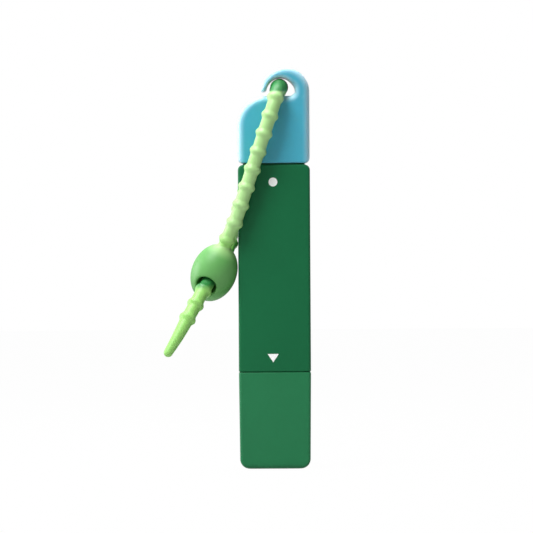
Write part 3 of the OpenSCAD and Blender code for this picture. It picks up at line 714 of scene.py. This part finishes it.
strand = brush.node("GeometryNodeMeshCone", {
    "Vertices": 5, "Side Segments": 3, "Radius Top": 0.075, "Radius Bottom": 0.05,
    "Depth": strand_length})
hang = brush.node("GeometryNodeTransform", {
    "Geometry": strand.outputs[0], "Translation": (0, 0, -strand_length)})
strands = brush.node("GeometryNodeInstanceOnPoints", {
    "Points": moved.outputs[0], "Instance": hang.outputs[0],
    "Rotation": brush.vector(lean_x, lean_y, 0)})
slab = brush.node("GeometryNodeMeshCube", {"Size": (high.x - low.x, high.y - low.y, SLAB)})
slab = brush.node("GeometryNodeTransform", {
    "Geometry": slab.outputs[0], "Translation": (0, 0, ROOT + SLAB / 2)})
both = brush.node("GeometryNodeJoinGeometry")
brush.tree.links.new(strands.outputs[0], both.inputs[0])
brush.tree.links.new(slab.outputs[0], both.inputs[0])
bristles = brush.cook(both.outputs[0], FINISHES["bristle_nylon"])
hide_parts("bristles")
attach(bristles, "pen")

# %% [markdown]
# ## The valve spring
# A compression spring is a wire on a helix whose coils lie close at both ends, so that it stands
# square. The angle grows evenly along the wire, and the height waits during the first and the last
# turn.

# %% Make the spring
low, high = (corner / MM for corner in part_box("valve_spring"))
spring = Recipe("valve_spring_wire", Turns=6, Coil=1.8, Wire=0.2, Low=low.z + 0.2, High=high.z - 0.2)
line = spring.node("GeometryNodeCurvePrimitiveLine", {"Start": (0, 0, 0), "End": (0, 0, 1)})
line = spring.node("GeometryNodeResampleCurve", {"Curve": line.outputs[0], "Count": 240})
part = Field(spring.tree, spring.node("GeometryNodeSplineParameter").outputs["Factor"])
angle = part * spring["Turns"] * math.tau
END_SHARE = 0.12
rise = ((part - END_SHARE) / (1 - 2 * END_SHARE)).most(0).least(1)
end_coil = spring["Wire"] * 2.1
height = (spring["Low"] + end_coil * (part / END_SHARE).least(1)
          + (spring["High"] - spring["Low"] - end_coil * 2) * rise
          + end_coil * ((part - (1 - END_SHARE)) / END_SHARE).most(0))
helix = spring.node("GeometryNodeSetPosition", {0: line.outputs[0], "Position": spring.vector(
    angle.math("COSINE") * spring["Coil"], angle.math("SINE") * spring["Coil"], height)})
ring = spring.node("GeometryNodeCurvePrimitiveCircle", {
    "Resolution": 8, "Radius": spring["Wire"]})
wire = spring.node("GeometryNodeCurveToMesh", {
    "Curve": helix.outputs[0], "Profile Curve": ring.outputs[0], "Fill Caps": True})
coil = spring.cook(wire.outputs[0], FINISHES["spring_steel"])
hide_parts("valve_spring")
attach(coil, "pen")
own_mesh(coil)

# %% [markdown]
# ## The printed marks
# A round dot marks the fluid end and a triangle points to the brush. They are screen printed:
# a film of white ink a few hundredths of a millimetre thick, with corners that the ink has
# rounded. Each is a flat outline given that thickness, set on the barrel's front face.

# %% Make the marks
FINISHES["ink"] = finish("ink", (0.95, 0.96, 0.95), drift=0.03, rough=(0.45, 0.6))


def arc(middle, r, start, sweep, steps):
    """Points along part of a circle, with both its ends."""
    turns = [start + sweep * k / steps for k in range(steps + 1)]
    return [(middle[0] + r * math.cos(turn), middle[1] + r * math.sin(turn)) for turn in turns]


def rounded_polygon(corners, r, steps=12):
    """The outline around discs of radius r at the corners, which run counter-clockwise."""
    sides = [math.atan2(b[1] - a[1], b[0] - a[0]) - math.pi / 2
             for a, b in zip(corners, corners[1:] + corners[:1])]
    points = []
    for corner, before, after in zip(corners, sides[-1:] + sides, sides):
        points += arc(corner, r, before, (after - before) % math.tau, steps)
    return points


def printed(name, points):
    """An outline on the barrel's front face as a thin film of ink."""
    mesh = bmesh.new()
    back = [mesh.verts.new(Vector((u, -HALF_D + 0.01, v)) * MM) for u, v in points]
    front = [mesh.verts.new(Vector((u, -HALF_D - 0.02, v)) * MM) for u, v in points]
    mesh.faces.new(front)
    mesh.faces.new(back[::-1])
    for i in range(len(points)):
        j = (i + 1) % len(points)
        mesh.faces.new((front[j], front[i], back[i], back[j]))
    bmesh.ops.recalc_face_normals(mesh, faces=mesh.faces)
    data = bpy.data.meshes.new(name)
    mesh.to_mesh(data)
    mesh.free()
    piece = place(name, data, FINISHES["ink"])
    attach(piece, "pen")


printed("print_dot", arc((-0.3, 87.4), 1.35, 0, math.tau, 48)[:-1])
printed("print_triangle", rounded_polygon([(-0.5, 32.7), (1.0, 34.9), (-2.0, 34.9)], 0.12))

# %% [markdown]
# ## Finishes of the other CAD pieces
# The pieces inside the pen keep the shape that the CAD model gives them. Each only changes its
# plain colour for the finish of its kind: moulded, rubber, felt or steel.

# %% Give every CAD piece its finish
for row in frame["record"]["materials"]:
    print(row["slot"], row["class"])
NODE_FINISH = {
    "top_collar": "barrel_green", "brush_base": "barrel_green", "reservoir": "clear_plastic",
    "reservoir_plug": "white_plastic", "neck_seal": "seal_rubber", "valve_housing": "white_plastic",
    "valve_gasket": "seal_rubber", "valve_retainer": "white_plastic",
    "valve_stem": "white_plastic", "nib_socket": "white_plastic", "nib": "nib_felt",
    "nib_holder": "white_plastic", "cap_liner": "white_plastic", "brush_plate": "white_plastic",
    "barrel": "barrel_green", "remover_cap": "cap_blue", "brush_cap": "cap_green",
    "strap_bead": "bead_silicone", "strap_cord": "strap_silicone", "bristles": "bristle_nylon",
    "valve_spring": "spring_steel"}
for name, node in frame["nodes"].items():
    for material_slot in node.material_slots:
        material_slot.material = FINISHES[NODE_FINISH[name]]

# %% [markdown]
# ## Light and floor
# The key light is a softbox high in front on the left. A weak one low in front fills its shadows.
# One beside the pen, a little behind it, lights no face that the camera sees square, only the
# edges and rounded sides on the left. One overhead brightens the rims. The floor and the world are
# white to the camera, which makes the plain background of a catalogue picture, and the floor still
# darkens a little under the pen.

# %% Softboxes
def softbox(name, where, size, watts, target=(0, 0, 0.065)):
    data = bpy.data.lights.new(name, "AREA")
    data.shape = "RECTANGLE"
    data.size, data.size_y = size
    data.energy = watts
    lamp = bpy.data.objects.new(name, data)
    aim = (Vector(target) - Vector(where)).to_track_quat("-Z", "Y").to_matrix().to_4x4()
    lamp.matrix_world = Matrix.Translation(where) @ aim
    scene.collection.objects.link(lamp)


softbox("key", (-0.45, -0.5, 0.92), (0.5, 0.5), 12.5)
softbox("fill", (-0.7, -1.0, 0.1), (0.6, 0.6), 1.5)
softbox("side", (-0.95, 0.24, 0.12), (0.5, 0.7), 8)
softbox("top", (-0.1, 0.12, 0.75), (0.7, 0.5), 6)
print("four softboxes")

# %% World and floor
def seen_white(tree, shader, strength=1.0):
    """White to the camera and in reflections, and the given shader for everything else."""
    rays = tree.nodes.new("ShaderNodeLightPath").outputs
    sees = Field(tree, rays["Is Camera Ray"]).most(Field(tree, rays["Is Glossy Ray"]))
    sees = sees.most(Field(tree, rays["Is Transmission Ray"]))
    glow = tree.nodes.new("ShaderNodeEmission" if shader.type != "BACKGROUND" else
                          "ShaderNodeBackground")
    glow.inputs["Color"].default_value = (1, 1, 1, 1)
    mix = tree.nodes.new("ShaderNodeMixShader")
    join(tree, sees * strength, mix.inputs[0])
    join(tree, shader.outputs[0], mix.inputs[1])
    join(tree, glow.outputs[0], mix.inputs[2])
    return mix.outputs[0]


world = bpy.data.worlds.new("studio")
world.use_nodes = True
scene.world = world
sky = world.node_tree.nodes["Background"]
sky.inputs["Color"].default_value = (1, 1, 1, 1)
sky.inputs["Strength"].default_value = 0.1
join(world.node_tree, seen_white(world.node_tree, sky),
     world.node_tree.nodes["World Output"].inputs["Surface"])

floor_mesh = bmesh.new()
bmesh.ops.create_grid(floor_mesh, x_segments=1, y_segments=1, size=3)
floor_data = bpy.data.meshes.new("floor")
floor_mesh.to_mesh(floor_data)
floor_mesh.free()
floor = bpy.data.objects.new("floor", floor_data)
scene.collection.objects.link(floor)
paper = bpy.data.materials.new("paper")
paper.use_nodes = True
matt = paper.node_tree.nodes["Principled BSDF"]
matt.inputs["Base Color"].default_value = (0.5, 0.5, 0.5, 1)
matt.inputs["Roughness"].default_value = 0.9
join(paper.node_tree, seen_white(paper.node_tree, matt, 0.985),
     paper.node_tree.nodes["Material Output"].inputs["Surface"])
floor_data.materials.append(paper)
scene.view_settings.view_transform = "Standard"
print("floor and world are white to the camera")
